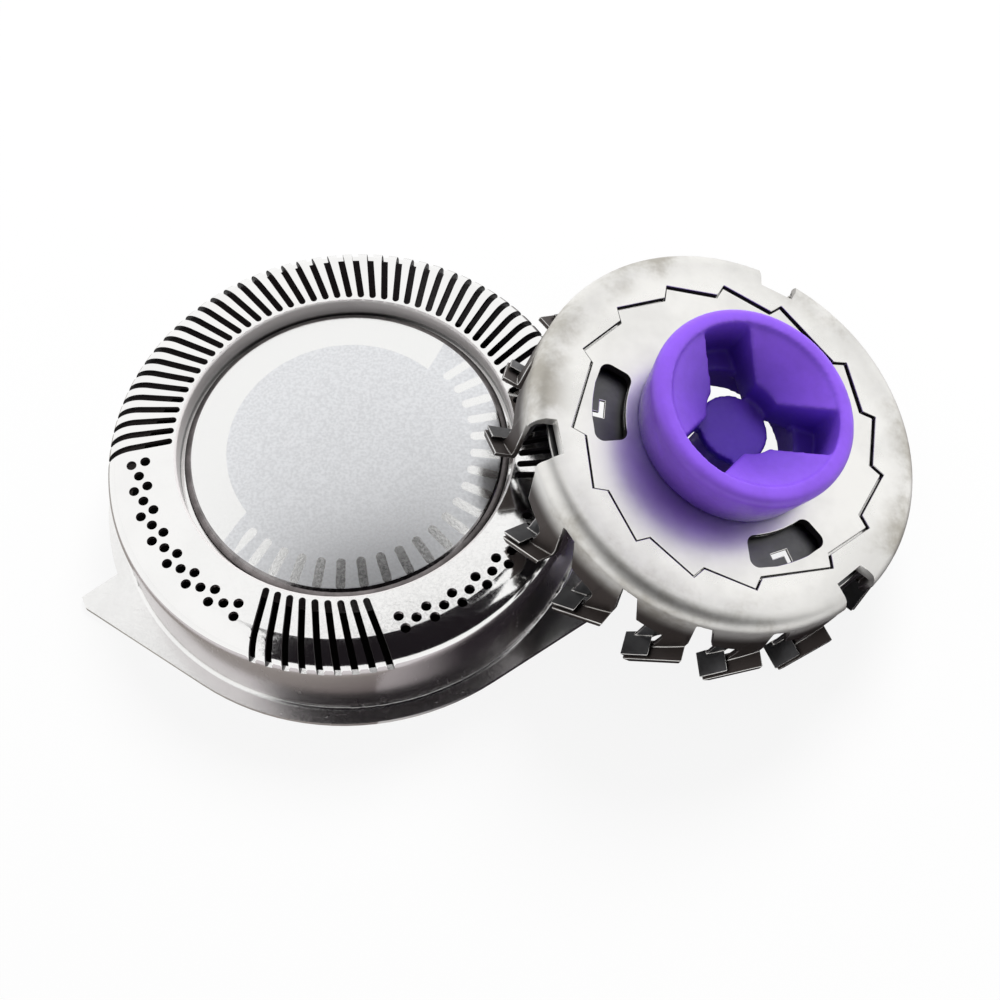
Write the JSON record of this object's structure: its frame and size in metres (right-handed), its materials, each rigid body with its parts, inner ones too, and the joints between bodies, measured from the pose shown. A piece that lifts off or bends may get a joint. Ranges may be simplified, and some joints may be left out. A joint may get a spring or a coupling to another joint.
{
  "type": "rotary shaver head",
  "caption": "Slotted round shaver guard with a domed centre cap, and the cutter with its splayed blades and moulded coupling hub leaning on the guard's rim.",
  "frame": {"origin": "on the guard's axis, at the underside of its flange, which is the face that it stands on", "axes": "+Z along the guard's axis from the flange to the slotted track; +X from the guard towards the cutter beside it; -Y is the side on which the guard's two ears are mirrored"},
  "size_m": [0.0415, 0.0256, 0.013],
  "materials": {
    "polished_steel": "polished stainless steel",
    "satin_cap": "satin metallic with a polished margin",
    "grey_plastic": "plain moulded",
    "blade_steel": "ground and hardened blade steel",
    "plate_steel": "pressed sheet, finely mottled",
    "lifter_steel": "dark spring steel",
    "violet_plastic": "moulded, soft gloss"
  },
  "bodies": {
    "guard": {"guard_shell": "polished_steel", "centre_cap": "satin_cap", "centre_bearing": "grey_plastic"},
    "cutter": {"cutter_ring": "blade_steel", "drive_plate": "plate_steel", "coupling_hub": "violet_plastic", "retaining_ring": "plate_steel"},
    "lifter": {"lifter_ring": "lifter_steel"}
  },
  "joints": [
    {"name": "cutter_spin", "type": "hinge", "parent": "guard", "child": "cutter", "pos_m": [0.01868, -0.0015, 0.00856], "axis": [0.3189, -0.0579, 0.946], "continuous": true},
    {"name": "lifter_travel", "type": "slide", "parent": "cutter", "child": "lifter", "axis": [0.3189, -0.0579, 0.946], "range_m": [0, 0.00018], "stiffness_N_per_m": 50}
  ]
}
